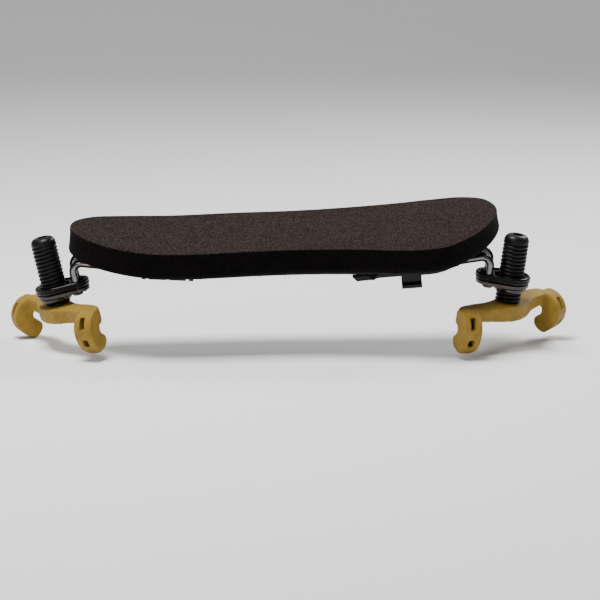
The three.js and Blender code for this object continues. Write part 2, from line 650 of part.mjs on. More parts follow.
function forkRubber(side) {
  const { half, endHalf, thickness, endThickness } = CROSSBAR;
  const bar = crossbar(side, half, endHalf, 1.4, -thickness, 0, SWELL).warp((point) => {
    point[2] *= 1 - (1 - endThickness / thickness) * (point[0] / TAIL.x) ** 2;
  });
  const gripping = claws(side).map((claw) =>
    moved(clawSlab(clawOutline(claw.radius), CLAW.width).intersect(clawFace()), clawFrame(claw)),
  );
  const windows = WINDOWS.flatMap(({ z, height, width }) => {
    const slot = box(2.6, 10, -width / 2, width / 2, z - height / 2, z + height / 2);
    return claws(side).map((claw) => moved(slot, clawFrame(claw)));
  });
  const middle = union(
    rod(FOOT_DISC.radius + GAP, CORE.z, 3),
    rod(PIN.head + 0.35, -8, CORE.z),
  );
  return union(bar, ...gripping).subtract(union(forkFrameSolid(side, GAP), middle, ...windows));
}

// ---------------------------------------------------------------- assembly
function group(matrix, ...children) {
  const made = new THREE.Group();
  made.applyMatrix4(matrix);
  made.add(...children);
  return made;
}

function endAssembly(side) {
  return group(
    endFrame(side),
    piece(`${side.name}_slider`, slider(), NYLON),
    piece(`${side.name}_lock_lever`, lockLever(), NYLON),
    piece(`${side.name}_lever_pin`, leverPin(), STEEL),
    piece(`${side.name}_bracket_rod`, bracketRod(side), NICKEL),
  );
}

function collarAssembly(side) {
  return group(
    collarFrame(side),
    piece(`${side.name}_collar`, collar(), NYLON),
    piece(`${side.name}_clamp_plate`, clampPlate(), NICKEL),
    piece(`${side.name}_collar_rivet`, collarRivet(), NICKEL),
    piece(`${side.name}_threaded_bush`, threadedBush(side), NICKEL),
  );
}

function legAssembly(side) {
  return [
    group(
      legFrame(side),
      piece(`${side.name}_leg_screw`, legScrew(), SCREW_NYLON),
      piece(`${side.name}_leg_pin`, legPin(), STEEL),
    ),
    group(
      forkFrame(side),
      piece(`${side.name}_fork_frame`, forkSteel(side), STEEL),
      piece(`${side.name}_fork_rubber`, forkRubber(side), RUBBER),
    ),
  ];
}

const assembled = new THREE.Group();
assembled.add(
  group(
    barFrame,
    piece("base_bar", baseBar(), NYLON),
    piece("foam_pad", foamPad(), FOAM),
    ...SIDES.map(endAssembly),
  ),
  ...SIDES.map(collarAssembly),
  ...SIDES.flatMap(legAssembly),
);

// The part's origin is the middle of the bounding box's underside.
const bounds = new THREE.Box3().setFromObject(assembled, true);
const middle = bounds.getCenter(new Vector3());
assembled.position.set(-middle.x, -middle.y, -bounds.min.z);
const shoulderRest = new THREE.Group().add(assembled);

export default shoulderRest;
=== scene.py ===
"""A violin shoulder rest: a foam-padded bar on wire brackets, with leg screws and rubber-covered forks."""

import json
import math

import bmesh
import bpy
from mathutils import Matrix, Vector
from mathutils.geometry import tessellate_polygon


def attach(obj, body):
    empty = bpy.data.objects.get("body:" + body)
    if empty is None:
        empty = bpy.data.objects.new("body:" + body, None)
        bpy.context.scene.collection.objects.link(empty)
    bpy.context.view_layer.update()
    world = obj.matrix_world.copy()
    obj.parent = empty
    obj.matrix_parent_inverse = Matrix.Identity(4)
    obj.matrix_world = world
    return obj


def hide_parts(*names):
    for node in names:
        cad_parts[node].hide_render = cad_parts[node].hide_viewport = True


# ---------------------------------------------------------------- dimensions, in millimetres and degrees
# The pad is in the bar's frame and the hinge and elbow in an end frame. The screw and fork are in the leg's
# frame. The collar and what is clamped to it are in the collar's frame, with z = 0 the collar's top.
BAR = {"height": 22.6, "pitch": 14, "roll": -1.1}
PAD_OUTLINE = [
    (-80.5, 0.8), (-77.8, -6.2), (-68, -15.6), (-52, -22), (-36, -22), (-13, -18.9), (6, -17.8),
    (25, -19.1), (50, -23.4), (61, -21.9), (73, -10.9), (80.6, 5), (80.7, 14), (76.4, 22.2),
    (68, 25.8), (56, 25.7), (44, 24.5), (6, 21.4), (-20, 19.7), (-43, 16.3), (-60, 14.5),
    (-72.5, 12), (-78.8, 7.2),
]
PAD = {"half_length": 81, "thickness": 10.2, "bow": 3.5, "flare": 0.9, "edge": 0.25}
UNDERCUT = {"narrow_end": 1.5, "wide_end": 4}
# How far out the rings that close the pad's top and underside lie, as shares of the way to the edge.
TOP_RINGS = (0.02, 0.25, 0.5, 0.7, 0.85, 0.94)
UNDERSIDE_RINGS = (0.94, 0.8, 0.5, 0.02)

HINGE = {"x": 62, "z": -3.3, "bend": 2, "spread": 3.6}
ELBOW = {"z": -1.9, "bend": 3.2}
ROD = {"radius": 1.5}
HEADS = {"rod": 2, "rivet": 1.15, "top": -4.5, "bottom": -5.2}

SIDES = {
    "left": {
        "sign": -1, "track_y": -1, "leg": (-85.7, 0, 4.6),
        "tilt": 12.6, "lean": 4.5, "collar": 7.8, "yaw": 122,
    },
    "right": {
        "sign": 1, "track_y": -2, "leg": (84.8, 0, 5.6),
        "tilt": 7.3, "lean": 7, "collar": 10.8, "yaw": -130,
    },
}

THREAD = {"pitch": 1.5, "crest": 4.85, "root": 4.1, "bottom": 0.3, "top": 23.7, "fade": 0.8, "row": 0.1}
SCREW = {"top": 26.4, "dome": 2.5, "flat": 2.5, "foot": 2.9, "foot_bottom": -1.5}
SOCKET = {"radius": 1.95, "chamfer": 0.12, "floor": 23.6}
# The radius of the last ring before the end of a turned solid closes on its axis.
HUB = 0.3

COLLAR = {"big": 7.35, "small": 6.4, "small_x": 7.2, "thickness": 2.7, "rim": 1.2, "recess": 0.6}
# The collar's wall from its underside round the outside and over the rim, as distances in from the pear
# outline and heights; the last point is at the foot of the recess.
COLLAR_WALL = [
    (1.2, -2.7), (0.9, -2.7), (0.45, -2.58), (0.1, -2.25), (0, -1.85), (0, -1.5),
    (0.22, -1.2), (0.22, -1.1), (0, -0.9), (0, -0.62), (0.14, -0.28), (0.4, -0.06),
    (0.65, 0), (0.88, -0.1), (1.05, -0.3), (1.2, -0.6),
]
ISLAND = {"inset": 2.3, "from_slot": 0.2, "corner": 0.3, "top": -0.1}
BORE = {"radius": 5.3, "slot_length": 6.3, "slot_half": 3.1, "corner": 0.8}
ROD_HOLE = {"x": 8.7, "y": 3.5, "radius": 1.8}
PLATE = {"top": -3, "bottom": -4.2, "inset": 0.35}
BUSH = {"top": -4.5, "bottom": -6.1, "radius": 6.15, "bore": 5.05}
RIVET = {"x": 10.9, "radius": 0.75, "hole": 1}

CROSSBAR = {"half": 4.2, "end_half": 3, "thickness": 5.6, "end_thickness": 4.2}
SWELL = {"width": 1.9, "shift": 1.2, "reach": 14}
TAIL_CLAW = {
    "x": 25, "y": 0.35, "splay": 28, "radius": 7.4,
    "arm": [(9, 1), (16, -0.4), (21, -1.1), (25.8, -0.6)],
}
WAIST_CLAW = {
    "x": 26.4, "y": -0.9, "splay": 12, "radius": 8.2,
    "arm": [(9, -0.6), (16, -2.1), (21, -2.4), (26.8, -2)],
}
CLAW = {"width": 7.7, "top": 0.4, "tip": -16.4, "corner": 3.4, "inner": -1.9}
THROAT = {"roof": -5.6, "floor": -9.6, "depth": 0.8}
WINDOWS = [{"z": -3.5, "height": 4.4, "width": 2.2}, {"z": -10.9, "height": 2.8, "width": 2.4}]
WINDOW_CUT = {"floor": 2.6, "outer": 12, "corner": 0.35}
RUBBER_VOXEL = 0.3
RUBBER_SOFTENING = 22
JUNCTION = {"in_from_claw": 4, "depth": 1.5, "reach": 7, "softening": 70}


# ---------------------------------------------------------------- frames
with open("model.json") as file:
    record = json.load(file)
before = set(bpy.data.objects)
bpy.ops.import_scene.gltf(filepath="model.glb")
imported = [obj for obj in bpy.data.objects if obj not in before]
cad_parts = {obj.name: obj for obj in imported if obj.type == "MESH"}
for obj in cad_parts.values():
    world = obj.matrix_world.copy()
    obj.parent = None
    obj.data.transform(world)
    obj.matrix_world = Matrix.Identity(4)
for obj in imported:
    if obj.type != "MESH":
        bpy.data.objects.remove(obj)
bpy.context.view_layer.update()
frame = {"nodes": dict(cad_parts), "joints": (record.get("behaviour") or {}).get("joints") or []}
JOINTS = {joint["name"]: joint for joint in frame["joints"]}

right_leg = Vector(JOINTS["right_fork_swivel"]["pos_m"]) * 1000
ORIGIN = Matrix.Translation(right_leg - Vector(SIDES["right"]["leg"]))
TO_METRES = Matrix.Scale(0.001, 4)


def turn(axis, degrees):
    return Matrix.Rotation(math.radians(degrees), 4, axis)


def bow_at(x):
    """How far the pad and the bar have curved up at x."""
    return PAD["bow"] * (x / PAD["half_length"]) ** 2


def leg_facing(side):
    """The turn about the leg that puts its +x towards the bar's middle."""
    return 180 if side["sign"] > 0 else 0


def leg_frame(side):
    """+x towards the bar's middle, z up the leg's own axis, z = 0 the top of the fork's crossbar."""
    tilted = turn("Y", side["sign"] * side["tilt"]) @ turn("X", side["lean"]) @ turn("Z", leg_facing(side))
    return ORIGIN @ Matrix.Translation(side["leg"]) @ tilted


def end_frame(side):
    """+x outwards along the bar, y along the fold hinge, z = 0 the foam's underside."""
    slope = math.degrees(math.atan(2 * PAD["bow"] * HINGE["x"] / PAD["half_length"] ** 2))
    place = Matrix.Translation((side["sign"] * HINGE["x"], side["track_y"], bow_at(HINGE["x"])))
    return BAR_FRAME @ place @ turn("Z", 180 - leg_facing(side)) @ turn("Y", -slope)


def collar_frame(side):
    return leg_frame(side) @ Matrix.Translation((0, 0, side["collar"]))


def fork_frame(side):
    return leg_frame(side) @ turn("Z", side["yaw"] - leg_facing(side))


BAR_TILT = turn("Y", BAR["roll"]) @ turn("X", BAR["pitch"])
BAR_FRAME = ORIGIN @ Matrix.Translation((0, 0, BAR["height"])) @ BAR_TILT


# ---------------------------------------------------------------- curves
def spline(points, steps, closed=False):
    """A centripetal Catmull-Rom curve through the points, with a number of steps between each pair."""
    points = [Vector((*p, 0)) for p in points]
    count = len(points)
    spans = count if closed else count - 1
    drawn = []
    for i in range(spans):
        if closed:
            a, b, c, d = (points[(i + k) % count] for k in (-1, 0, 1, 2))
        else:
            b, c = points[i], points[i + 1]
            a = points[i - 1] if i > 0 else b + b - c
            d = points[i + 2] if i + 2 < count else c + c - b
        knots = [0]
        for p, q in ((a, b), (b, c), (c, d)):
            knots.append(knots[-1] + (q - p).length ** 0.5)
        for step in range(steps):
            t = knots[1] + (knots[2] - knots[1]) * step / steps
            level = [a, b, c, d]
            for reach in (1, 2, 3):
                pairs = enumerate(zip(level, level[1:]))
                level = [p.lerp(q, blend_at(t, knots, k, reach)) for k, (p, q) in pairs]
            drawn.append(level[0])
    if not closed:
        drawn.append(points[-1])
    return drawn


def blend_at(t, knots, k, reach):
    """The share of the next point in one step of the Catmull-Rom pyramid."""
    low, high = {1: (k, k + 1), 2: (k, k + 2), 3: (k + 1, k + 2)}[reach]
    return (t - knots[low]) / (knots[high] - knots[low])


def arc(centre, radius, start, end, steps):
    """Points on an arc between two angles in degrees, both ends included."""
    angles = [math.radians(start + (end - start) * i / steps) for i in range(steps + 1)]
    return [(centre[0] + radius * math.cos(a), centre[1] + radius * math.sin(a)) for a in angles]


def quadratic(start, control, end, steps=10):
    """Points on a quadratic curve, without its first point."""
    drawn = []
    for i in range(1, steps + 1):
        t = i / steps
        weights = ((1 - t) ** 2, 2 * t * (1 - t), t * t)
        drawn.append(tuple(sum(w * p[k] for w, p in zip(weights, (start, control, end))) for k in (0, 1)))
    return drawn


def rounded_path(corners, radii, steps=8):
    """A polyline through the corners, each inner corner rounded by its own radius."""
    path = [corners[0]]
    for before, corner, after, radius in zip(corners, corners[1:], corners[2:], radii):
        back = (before - corner).normalized()
        ahead = (after - corner).normalized()
        half = back.angle(ahead) / 2
        middle = corner + (back + ahead).normalized() * radius / math.sin(half)
        start = corner + back * radius / math.tan(half)
        end = corner + ahead * radius / math.tan(half)
        for i in range(steps + 1):
            spoke = start.lerp(end, i / steps) - middle
            path.append(middle + spoke.normalized() * radius)
    return [*path, corners[-1]]


# ---------------------------------------------------------------- meshes
def add_object(name, data):
    obj = bpy.data.objects.new(name, data)
    bpy.context.scene.collection.objects.link(obj)
    return obj


def bare_mesh(name, verts, faces, matrix):
    """A mesh object from millimetre points in a local frame; its object stays at the origin."""
    mesh = bpy.data.meshes.new(name)
    to_world = TO_METRES @ matrix
    mesh.from_pydata([to_world @ Vector(v) for v in verts], [], faces)
    built = bmesh.new()
    built.from_mesh(mesh)
    bmesh.ops.recalc_face_normals(built, faces=built.faces)
    built.to_mesh(mesh)
    built.free()
    return add_object(name, mesh)


def skin(rings):
    """Points and faces of a tube through rings of equal count, closed at both ends."""
    count = len(rings[0])
    verts = [point for ring in rings for point in ring]
    faces = []
    for row in range(len(rings) - 1):
        for i in range(count):
            j = (i + 1) % count
            low, high = row * count, (row + 1) * count
            faces.append((low + i, low + j, high + j, high + i))
    for first in (0, (len(rings) - 1) * count):
        centre = sum((Vector(p) for p in verts[first:first + count]), Vector()) / count
        verts.append(centre)
        hub = len(verts) - 1
        faces += [(first + i, first + (i + 1) % count, hub) for i in range(count)]
    return verts, faces


def loop_of(rings):
    """Points and faces of a closed ring of rings, such as a wall about a hole."""
    rows, count = len(rings), len(rings[0])
    verts = [point for ring in rings for point in ring]
    faces = []
    for row in range(rows):
        low, high = row * count, (row + 1) % rows * count
        for i in range(count):
            j = (i + 1) % count
            faces.append((low + i, low + j, high + j, high + i))
    return verts, faces


def spun(profile, columns):
    """Rings of a solid of revolution about z from (radius, z) pairs."""
    spokes = [2 * math.pi * i / columns for i in range(columns)]
    return [[(r * math.cos(a), r * math.sin(a), z) for a in spokes] for r, z in profile]


def joined(*parts):
    """Several (points, faces) pairs as one."""
    verts, faces = [], []
    for more_verts, more_faces in parts:
        start = len(verts)
        verts += more_verts
        faces += [tuple(start + i for i in face) for face in more_faces]
    return verts, faces


def shifted(part, x, y=0):
    verts, faces = part
    return [Vector(v) + Vector((x, y, 0)) for v in verts], faces


def tube(path, radius, columns=28):
    """Points and faces of a round rod along a path."""
    rings = []
    side = Vector((0, 0, 1)).cross(path[1] - path[0]).normalized()
    for i, point in enumerate(path):
        along = (path[min(i + 1, len(path) - 1)] - path[max(i - 1, 0)]).normalized()
        side = (side - along * side.dot(along)).normalized()
        across = along.cross(side)
        spokes = [2 * math.pi * k / columns for k in range(columns)]
        rings.append([point + (side * math.cos(a) + across * math.sin(a)) * radius for a in spokes])
    return skin(rings)


def slab(loops, bottom, top):
    """Points and faces of a plate with a plan of loops: the first is its outline, the others are holes."""
    flat = [[Vector((x, y, 0)) for x, y in loop] for loop in loops]
    triangles = tessellate_polygon(flat)
    plan = [point for loop in flat for point in loop]
    count = len(plan)
    verts = [(p.x, p.y, z) for z in (bottom, top) for p in plan]
    faces = [tuple(face) for face in triangles] + [tuple(count + i for i in face) for face in triangles]
    start = 0
    for loop in flat:
        for i in range(len(loop)):
            a, b = start + i, start + (i + 1) % len(loop)
            faces.append((a, b, count + b, count + a))
        start += len(loop)
    return verts, faces


def smooth(obj, sharp_above=35):
    """Shades an object smooth, apart from edges that turn by more than an angle in degrees."""
    obj.data.shade_smooth()
    obj.data.set_sharp_from_angle(angle=math.radians(sharp_above))


def bevel(obj, width, segments=3, angle=40):
    """Rounds an object's hard edges, with the flats kept flat."""
    rounding = obj.modifiers.new("rounded_edges", "BEVEL")
    rounding.width = width / 1000
    rounding.segments = segments
    rounding.limit_method = "ANGLE"
    rounding.angle_limit = math.radians(angle)
    rounding.harden_normals = True
    return obj


def relax(obj, name, rounds):
    """Adds a modifier that draws each point towards its neighbours, a number of times over."""
    relaxing = obj.modifiers.new(name, "SMOOTH")
    relaxing.factor = 0.5
    relaxing.iterations = rounds
    return relaxing


def settle(obj):
    """Applies an object's modifiers to its mesh."""
    graph = bpy.context.evaluated_depsgraph_get()
    obj.data = bpy.data.meshes.new_from_object(obj.evaluated_get(graph))
    obj.modifiers.clear()


# ---------------------------------------------------------------- materials
def srgb(red, green, blue):
    """A linear colour from 8-bit display values."""
    shares = [c / 255 for c in (red, green, blue)]
    return [c / 12.92 if c <= 0.04045 else ((c + 0.055) / 1.055) ** 2.4 for c in shares] + [1]


class Look:
    """A node material on object coordinates, so that its grain moves with its piece."""

    def __init__(self, name):
        self.material = bpy.data.materials.new(name)
        self.material.use_nodes = True
        self.nodes = self.material.node_tree.nodes
        self.links = self.material.node_tree.links
        self.shader = self.nodes["Principled BSDF"]
        self.place = self.nodes.new("ShaderNodeTexCoord").outputs["Object"]
        self.bumped = None

    def noise(self, size, detail, rough=0.5):
        """Noise with features about size millimetres across."""
        node = self.nodes.new("ShaderNodeTexNoise")
        node.inputs["Scale"].default_value = 1000 / size
        node.inputs["Detail"].default_value = detail
        node.inputs["Roughness"].default_value = rough
        self.links.new(self.place, node.inputs["Vector"])
        return node.outputs["Fac"]

    def pores(self, size):
        """Cells about size millimetres across, deepest at their middles."""
        node = self.nodes.new("ShaderNodeTexVoronoi")
        node.inputs["Scale"].default_value = 1000 / size
        self.links.new(self.place, node.inputs["Vector"])
        return node.outputs["Distance"]

    def ramp(self, source, low, high, at_low, at_high):
        """Maps a value between two stops to colours or plain numbers."""
        node = self.nodes.new("ShaderNodeValToRGB")
        for stop, place, value in zip(node.color_ramp.elements, (low, high), (at_low, at_high)):
            stop.position = place
            stop.color = value if isinstance(value, (list, tuple)) else (value, value, value, 1)
        self.links.new(source, node.inputs["Fac"])
        return node.outputs["Color"]

    def mix(self, share, first, second, mode="MIX"):
        """Mixes two colours; the Mix node's colour sockets are inputs 6 and 7 and output 2."""
        node = self.nodes.new("ShaderNodeMix")
        node.data_type = "RGBA"
        node.blend_type = mode
        for socket, value in ((0, share), (6, first), (7, second)):
            self.feed(node.inputs[socket], value)
        return node.outputs[2]

    def feed(self, socket, value):
        """Gives a socket a plain value or another node's output."""
        if isinstance(value, (int, float, list, tuple)):
            socket.default_value = value
        else:
            self.links.new(value, socket)

    def set(self, name, value):
        self.feed(self.shader.inputs[name], value)

    def bump(self, source, depth, strength):
        """Raises the surface by up to depth millimetres; several bumps stack."""
        node = self.nodes.new("ShaderNodeBump")
        node.inputs["Distance"].default_value = depth / 1000
        node.inputs["Strength"].default_value = strength
        self.links.new(source, node.inputs["Height"])
        if self.bumped:
            self.links.new(self.bumped, node.inputs["Normal"])
        self.bumped = node.outputs["Normal"]
        self.set("Normal", self.bumped)


def facing_up(look, upwards, low, high):
    """0 on walls and 1 on faces that look along upwards."""
    geometry = look.nodes.new("ShaderNodeNewGeometry")
    dot = look.nodes.new("ShaderNodeVectorMath")
    dot.operation = "DOT_PRODUCT"
    dot.inputs[1].default_value = upwards
    look.links.new(geometry.outputs["True Normal"], dot.inputs[0])
    return look.ramp(dot.outputs["Value"], low, high, 0.0, 1.0)


def foam_look():
    """Closed-cell foam: a speckled charcoal face and sides darkened with painted shade, both finely pitted.
    """
    look = Look("foam")
    face = look.ramp(look.noise(0.6, 3, 0.75), 0.42, 0.6, srgb(2, 1, 1), srgb(58, 47, 44))
    # Painted shade: the walls get a darker copy of the foam's speckle, mixed in by how far each face turns
    # from upwards.
    side = look.ramp(look.noise(0.6, 3, 0.75), 0.4, 0.66, srgb(1, 1, 1), srgb(18, 13, 12))
    patches = look.ramp(look.noise(22, 3), 0.3, 0.7, (0.86, 0.86, 0.86, 1), (1, 1, 1, 1))
    shade = look.mix(facing_up(look, BAR_FRAME.to_3x3() @ Vector((0, 0, 1)), 0.5, 0.95), side, face)
    look.set("Base Color", look.mix(1.0, shade, patches, "MULTIPLY"))
    look.set("Roughness", 0.95)
    look.set("Specular IOR Level", 0.06)
    look.set("Sheen Weight", 0.02)
    look.bump(look.pores(0.5), 0.06, 0.8)
    look.bump(look.noise(0.3, 2), 0.05, 0.7)
    return look.material


def nylon_look(name, colour, roughness, grain):
    """Moulded black nylon, with a faint spark-eroded grain and rubbed patches."""
    look = Look(name)
    look.set("Specular IOR Level", 0.18)
    look.set("Roughness", look.ramp(look.noise(5, 4), 0.3, 0.7, roughness - 0.07, roughness + 0.1))
    wear_and_highlight = [1.5 * c for c in colour[:3]] + [1]
    look.set("Base Color", look.ramp(look.noise(9, 3), 0.3, 0.75, colour, wear_and_highlight))
    look.bump(look.noise(0.25, 2), grain, 0.6)
    look.bump(look.noise(6, 2), 0.05, 0.4)
    return look.material


def plated_look(name, colour, roughness, scratch):
    """Plated steel, with fine rub marks and slightly dulled patches."""
    look = Look(name)
    look.set("Metallic", 1.0)
    look.set("Roughness", look.ramp(look.noise(4, 5), 0.3, 0.75, roughness, roughness + 0.16))
    dull = [0.72 * c for c in colour[:3]] + [1]
    look.set("Base Color", look.ramp(look.noise(3, 4), 0.35, 0.7, dull, colour))
    look.bump(look.noise(0.35, 4, 0.7), scratch, 0.5)
    return look.material


def wire_look():
    """Nickel wire: a painted highlight down its middle, a painted reflection of the dark pad and collar
    along its edges.
    """
    look = Look("wire")
    look.set("Metallic", 1.0)
    turned = look.nodes.new("ShaderNodeLayerWeight")
    turned.inputs["Blend"].default_value = 0.5
    painted_highlight = look.ramp(look.noise(3, 4), 0.35, 0.7, srgb(98, 95, 94), srgb(134, 132, 132))
    # Painted reflection: the colour fades from the painted highlight, where the wire faces the camera, to
    # near black at its edges.
    shade = look.ramp(turned.outputs["Facing"], 0.04, 0.26, 0.0, 1.0)
    look.set("Base Color", look.mix(shade, painted_highlight, srgb(26, 23, 22)))
    look.set("Roughness", look.ramp(look.noise(4, 5), 0.3, 0.75, 0.12, 0.26))
    look.bump(look.noise(0.35, 4, 0.7), 0.005, 0.5)
    return look.material


def rubber_look():
    """Tan moulded rubber: matt, with a painted highlight paling the edges a little and painted shade in the
    hollows.
    """
    look = Look("rubber")
    body = look.ramp(look.noise(3, 4), 0.3, 0.72, srgb(128, 101, 36), srgb(146, 117, 45))
    # Painted light from the mesh's pointiness: a painted highlight on the sharp edges and painted shade in
    # the hollows.
    curvature = look.nodes.new("ShaderNodeNewGeometry").outputs["Pointiness"]
    wear_and_highlight = look.ramp(curvature, 0.53, 0.6, 0.0, 0.35)
    hollow_shade = look.ramp(curvature, 0.42, 0.5, 0.4, 0.0)
    body = look.mix(wear_and_highlight, body, srgb(182, 150, 72))
    look.set("Base Color", look.mix(hollow_shade, body, srgb(88, 66, 20)))
    look.set("Roughness", look.ramp(look.noise(2, 4), 0.3, 0.7, 0.5, 0.68))
    look.set("Specular IOR Level", 0.18)
    look.bump(look.noise(0.35, 3), 0.02, 0.5)
    look.bump(look.noise(4, 2), 0.08, 0.4)
    return look.material


FOAM = foam_look()
NYLON = nylon_look("nylon", srgb(8, 7, 7), 0.24, 0.008)
SCREW_NYLON = nylon_look("screw_nylon", srgb(12, 10, 10), 0.34, 0.012)
NICKEL = plated_look("nickel", srgb(70, 66, 64), 0.12, 0.005)
STEEL = plated_look("steel", srgb(72, 69, 67), 0.34, 0.01)
BLACK_STEEL = plated_look("black_steel", srgb(20, 18, 18), 0.4, 0.01)
WIRE = wire_look()
RUBBER = rubber_look()


def finish_piece(obj, look, body, slot, *nodes):
    """Gives a piece its material and its body, and hides the CAD nodes it stands for; slot is not used."""
    obj.data.materials.clear()
    obj.data.materials.append(look)
    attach(obj, body)
    if nodes:
        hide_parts(*nodes)


# ---------------------------------------------------------------- foam pad
def pad_wall(x):
    """The wall as distances out from the outline and heights: it flares downwards and rounds under."""
    thickness, flare, edge = (PAD[k] for k in ("thickness", "flare", "edge"))
    share = (x / PAD["half_length"] + 1) / 2
    under = UNDERCUT["narrow_end"] + (UNDERCUT["wide_end"] - UNDERCUT["narrow_end"]) * share
    bevelled = 0.3 * edge
    wall = [(-edge, thickness), (-bevelled, thickness - bevelled), (0, thickness - edge)]
    steps = 8
    for i in range(1, steps):
        down = i / steps
        wall.append((flare * down ** 1.5, thickness - edge + (under - thickness + edge) * down))
    return wall + arc((flare - under, under), under, 0, -90, 7)


def flat_share(point, share):
    """A point a share of the way out from the pad's middle to the given point, at its height."""
    return Vector((point.x * share, point.y * share, point.z))


def pad_rings():
    """Rings from the middle of the top face, over the edge, down the wall and back under to the middle."""
    outline = spline(PAD_OUTLINE, 14, closed=True)
    count = len(outline)
    normals = []
    for i in range(count):
        along = outline[(i + 1) % count] - outline[i - 1]
        normals.append(Vector((along.y, -along.x, 0)).normalized())
    walls = []
    for point, normal in zip(outline, normals):
        walls.append([point + normal * out + Vector((0, 0, height)) for out, height in pad_wall(point.x)])
    wall_rings = list(zip(*walls))
    rings = [[flat_share(p, share) for p in wall_rings[0]] for share in TOP_RINGS]
    rings += wall_rings
    rings += [[flat_share(p, share) for p in wall_rings[-1]] for share in UNDERSIDE_RINGS]
    return [[Vector((p.x, p.y, p.z + bow_at(p.x))) for p in ring] for ring in rings]


def foam_pad():
    pad = bare_mesh("pad", *skin(pad_rings()), BAR_FRAME)
    smooth(pad, 50)
    finish_piece(pad, FOAM, "bar", "foam", "foam_pad")


# ---------------------------------------------------------------- wire brackets
def rod_head_profile():
    """Radii and heights of a rod's peened end, under the clamp plate."""
    radius, top, bottom = HEADS["rod"], HEADS["top"], HEADS["bottom"]
    return [(HUB, top), (radius, top), (radius, bottom + 0.2), (radius - 0.25, bottom), (HUB, bottom)]


def bracket(name, side):
    """One bent rod: up from the collar, over an elbow, along to the hinge, across, and back."""
    ends = end_frame(side)
    in_end = ends.inverted() @ collar_frame(side)
    rise = in_end.to_3x3() @ Vector((0, 0, 1))
    arms = []
    for hand in (1, -1):
        foot = in_end @ Vector((ROD_HOLE["x"], -hand * ROD_HOLE["y"], HEADS["bottom"]))
        elbow = foot + rise * (ELBOW["z"] - foot.z) / rise.z
        arms.append([foot, elbow, Vector((0, hand * HINGE["spread"], HINGE["z"]))])
    corners = [*arms[0], *reversed(arms[1])]
    path = rounded_path(corners, [ELBOW["bend"], HINGE["bend"], HINGE["bend"], ELBOW["bend"]])
    wire = bare_mesh(f"{name}_rod", *tube(path, ROD["radius"]), ends)
    smooth(wire)
    finish_piece(wire, WIRE, f"{name}_bracket", "nickel", f"{name}_bracket_rod")
    head = skin(spun(rod_head_profile(), 32))
    heads = joined(*[shifted(head, ROD_HOLE["x"], hand * ROD_HOLE["y"]) for hand in (1, -1)])
    peened = bare_mesh(f"{name}_rod_heads", *heads, collar_frame(side))
    smooth(peened)
    finish_piece(peened, NICKEL, f"{name}_bracket", "nickel")


# ---------------------------------------------------------------- collar stack
def pear(inset):
    """A big round end about the screw and a smaller one about the rods, joined by tangents."""
    big, small = COLLAR["big"] - inset, COLLAR["small"] - inset
    meet = math.degrees(math.acos((big - small) / COLLAR["small_x"]))
    return arc((0, 0), big, meet, 360 - meet, 56) + arc((COLLAR["small_x"], 0), small, -meet, meet, 30)


def bore_outline():
    """The round hole for the screw with the slot that opens towards the rods."""
    half, corner = BORE["slot_half"], BORE["corner"]
    meet = math.degrees(math.asin(half / BORE["radius"]))
    slot = [
        *arc((BORE["slot_length"] - corner, corner - half), corner, -90, 0, 4),
        *arc((BORE["slot_length"] - corner, half - corner), corner, 0, 90, 4),
    ]
    return arc((0, 0), BORE["radius"], meet, 360 - meet, 48) + slot


def small_holes():
    """The two rod holes and the rivet's hole, each a circle without its repeated last point."""
    rods = [arc((ROD_HOLE["x"], hand * ROD_HOLE["y"]), ROD_HOLE["radius"], 0, 345, 23) for hand in (1, -1)]
    return [*rods, arc((RIVET["x"], 0), RIVET["hole"], 0, 330, 11)]


def collar_island():
    """The raised pad about the rods, set in from the rim."""
    start = BORE["slot_length"] + ISLAND["from_slot"]
    inner = [(x, y) for x, y in pear(ISLAND["inset"]) if x > start + ISLAND["corner"]]
    half = max(y for x, y in inner)
    return [(start, -half), *inner, (start, half)]


def bush_profile():
    """Radii and heights of the bush: a chamfered bore, a rounded lower rim and a chamfered top."""
    bore, radius, bottom, top = (BUSH[k] for k in ("bore", "radius", "bottom", "top"))
    return [
        (bore, bottom + 0.2), (bore + 0.25, bottom), (radius - 0.6, bottom), (radius - 0.15, bottom + 0.2),
        (radius, bottom + 0.55), (radius, top - 0.3), (radius - 0.3, top), (bore, top),
    ]


def rivet_profile():
    """Radii and heights of the rivet: a flat head under the plate, a shank and a domed upper head."""
    head, shank, top, bottom = HEADS["rivet"], RIVET["radius"], HEADS["top"], HEADS["bottom"]
    return [
        (HUB, bottom), (head - 0.2, bottom), (head, bottom + 0.2), (head, top), (shank, top),
        (shank, 0.2), (head, 0.25), (head - 0.1, 0.5), (head - 0.45, 0.72), (HUB, 0.8),
    ]


